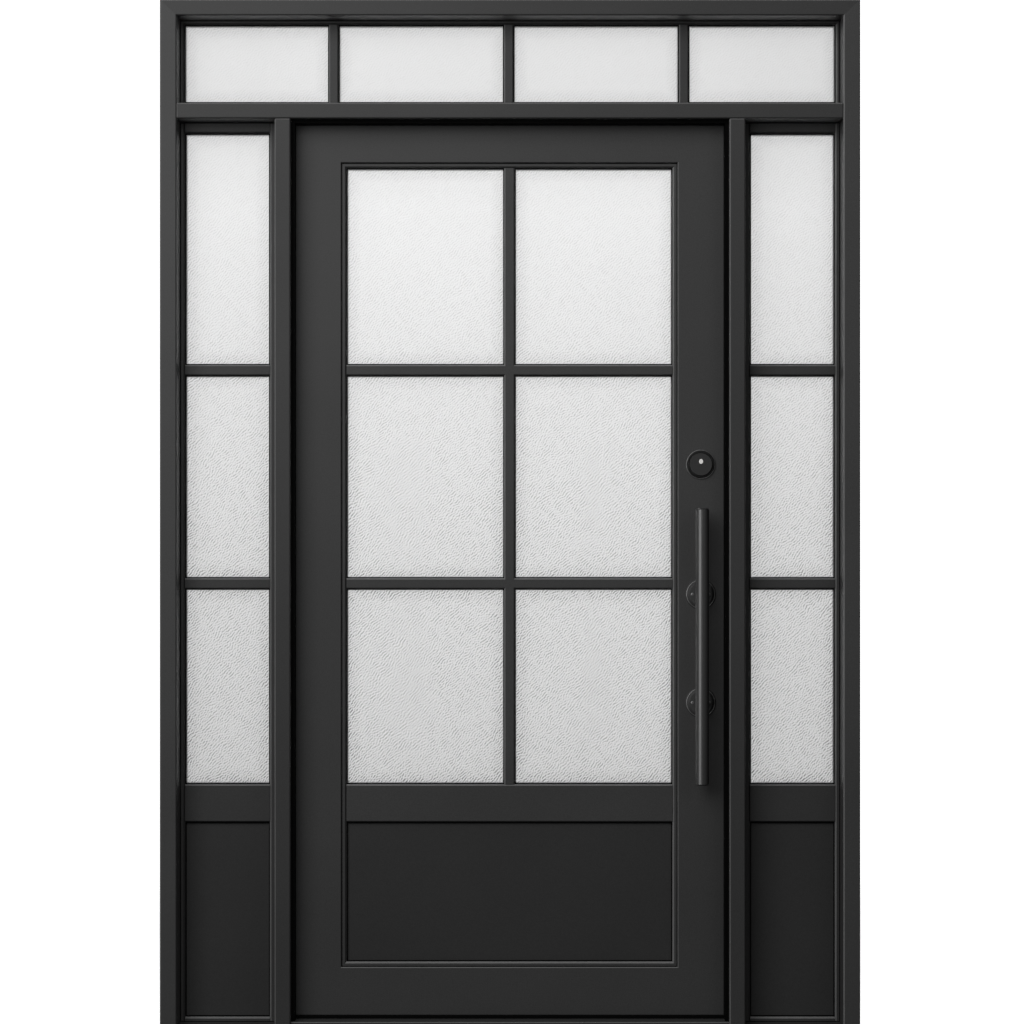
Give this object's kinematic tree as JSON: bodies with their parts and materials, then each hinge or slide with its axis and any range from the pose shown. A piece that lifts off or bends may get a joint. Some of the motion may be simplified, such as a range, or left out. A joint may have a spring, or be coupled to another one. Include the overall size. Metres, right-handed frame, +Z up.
{
  "type": "iron entry door with sidelights and transom light",
  "caption": "Dark iron entry door unit: a glazed swinging leaf with a kick panel and bar pulls, between fixed sidelights, under a transom light, in a steel tube frame.",
  "frame": {"origin": "on the floor, on the underside of the threshold, under the middle of the doorway, at half the frame's depth", "axes": "+X to the right seen from outdoors, +Y indoors, +Z up"},
  "size_m": [1.654, 0.198, 2.438],
  "materials": {
    "frame_paint": "satin charcoal-black paint",
    "hardware": "satin black",
    "nickel": "bright nickel",
    "black_rubber": "matt black",
    "obscure_glass": "hammered obscure glass, translucent"
  },
  "bodies": {
    "frame": {"left_jamb": "frame_paint", "right_jamb": "frame_paint", "head": "frame_paint", "transom_bar": "frame_paint", "left_mullion": "frame_paint", "right_mullion": "frame_paint", "door_threshold": "frame_paint", "weather_seal": "black_rubber", "transom_beads": "frame_paint", "transom_muntins": "frame_paint", "transom_glass": "obscure_glass", "transom_gaskets": "black_rubber", "left_sill": "frame_paint", "left_sidelight_beads": "frame_paint", "left_sidelight_muntins": "frame_paint", "left_sidelight_rail": "frame_paint", "left_sidelight_panel": "frame_paint", "left_sidelight_glass": "obscure_glass", "left_sidelight_gaskets": "black_rubber", "right_sill": "frame_paint", "right_sidelight_beads": "frame_paint", "right_sidelight_muntins": "frame_paint", "right_sidelight_rail": "frame_paint", "right_sidelight_panel": "frame_paint", "right_sidelight_glass": "obscure_glass", "right_sidelight_gaskets": "black_rubber", "hinge_frame_halves": "hardware"},
    "leaf": {"hinge_stile": "frame_paint", "lock_stile": "frame_paint", "top_rail": "frame_paint", "bottom_rail": "frame_paint", "door_mid_rail": "frame_paint", "door_beads": "frame_paint", "door_muntins": "frame_paint", "door_glass": "obscure_glass", "door_gaskets": "black_rubber", "kick_panel": "frame_paint", "pull_bars": "hardware", "pull_posts": "hardware", "lock_roses": "hardware", "lock_cylinder": "hardware", "key_plug": "nickel", "thumb_turn": "hardware", "hinge_leaf_halves": "hardware"}
  },
  "joints": [
    {"name": "door_hinge", "type": "hinge", "parent": "frame", "child": "leaf", "pos_m": [-0.5155, 0.074, 1.09], "axis": [0, 0, 1], "range_deg": [0, 110]}
  ]
}
